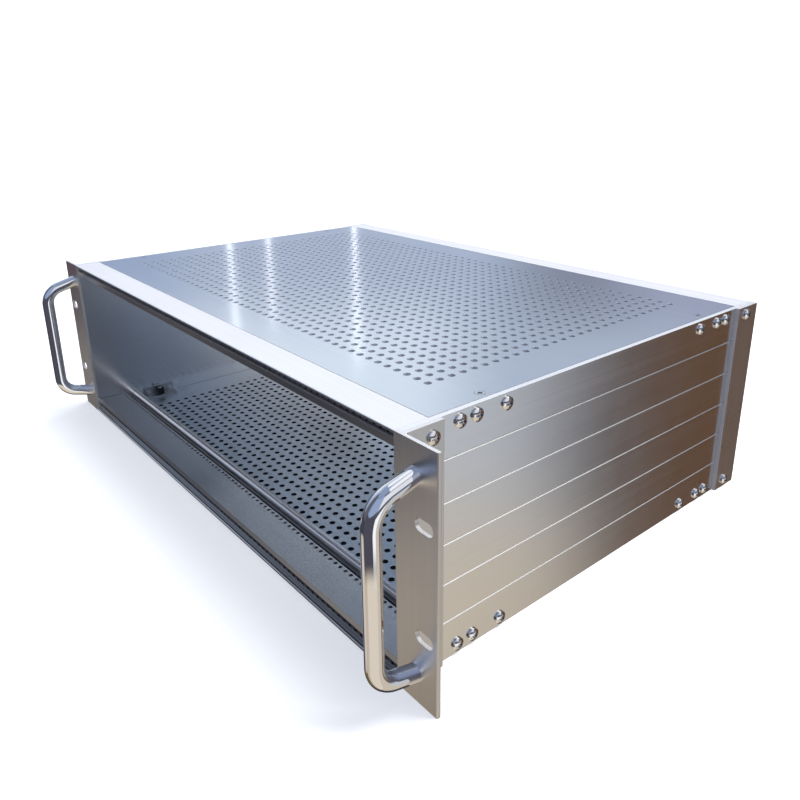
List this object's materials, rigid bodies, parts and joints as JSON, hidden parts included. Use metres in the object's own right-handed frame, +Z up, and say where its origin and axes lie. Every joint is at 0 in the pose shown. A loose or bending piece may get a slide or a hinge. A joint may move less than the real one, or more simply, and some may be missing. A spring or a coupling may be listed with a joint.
{
  "type": "rack-mount instrument case",
  "caption": "Low rack-mount instrument case of bare aluminium, open at front and rear, with perforated covers, grooved side plates, slotted flanges and bent bar handles.",
  "frame": {"origin": "middle of the footprint, handles included, on the surface that the case stands on", "axes": "+X to the right seen from the front, +Y from the open front to the rear, +Z up"},
  "size_m": [0.4826, 0.3346, 0.1325],
  "materials": {
    "side_aluminium": "brushed along the case, with fine grooves",
    "flange_aluminium": "brushed, satin",
    "handle_chrome": "mirror bright plating",
    "rail_aluminium": "bright satin extrusion",
    "strip_steel": "plain zinc",
    "cover_aluminium": "satin sheet, perforated",
    "bracket_aluminium": "plain satin",
    "nut_black": "black",
    "screw_steel": "bright zinc"
  },
  "bodies": {
    "root": {"left_side_plate": "side_aluminium", "right_side_plate": "side_aluminium", "left_front_flange": "flange_aluminium", "right_front_flange": "flange_aluminium", "left_handle": "handle_chrome", "right_handle": "handle_chrome", "front_top_rail": "rail_aluminium", "front_bottom_rail": "rail_aluminium", "rear_top_rail": "rail_aluminium", "rear_bottom_rail": "rail_aluminium", "front_top_strip": "strip_steel", "front_bottom_strip": "strip_steel", "rear_top_strip": "strip_steel", "rear_bottom_strip": "strip_steel", "top_cover": "cover_aluminium", "bottom_cover": "cover_aluminium", "left_rear_angle": "flange_aluminium", "right_rear_angle": "flange_aluminium", "left_cover_brackets": "bracket_aluminium", "right_cover_brackets": "bracket_aluminium", "cover_nuts": "nut_black", "rail_screws": "screw_steel", "bracket_screws": "screw_steel", "flange_screws": "screw_steel", "rear_angle_screws": "screw_steel", "top_cover_screws": "screw_steel", "bottom_cover_screws": "screw_steel", "handle_screws": "screw_steel"}
  },
  "joints": []
}
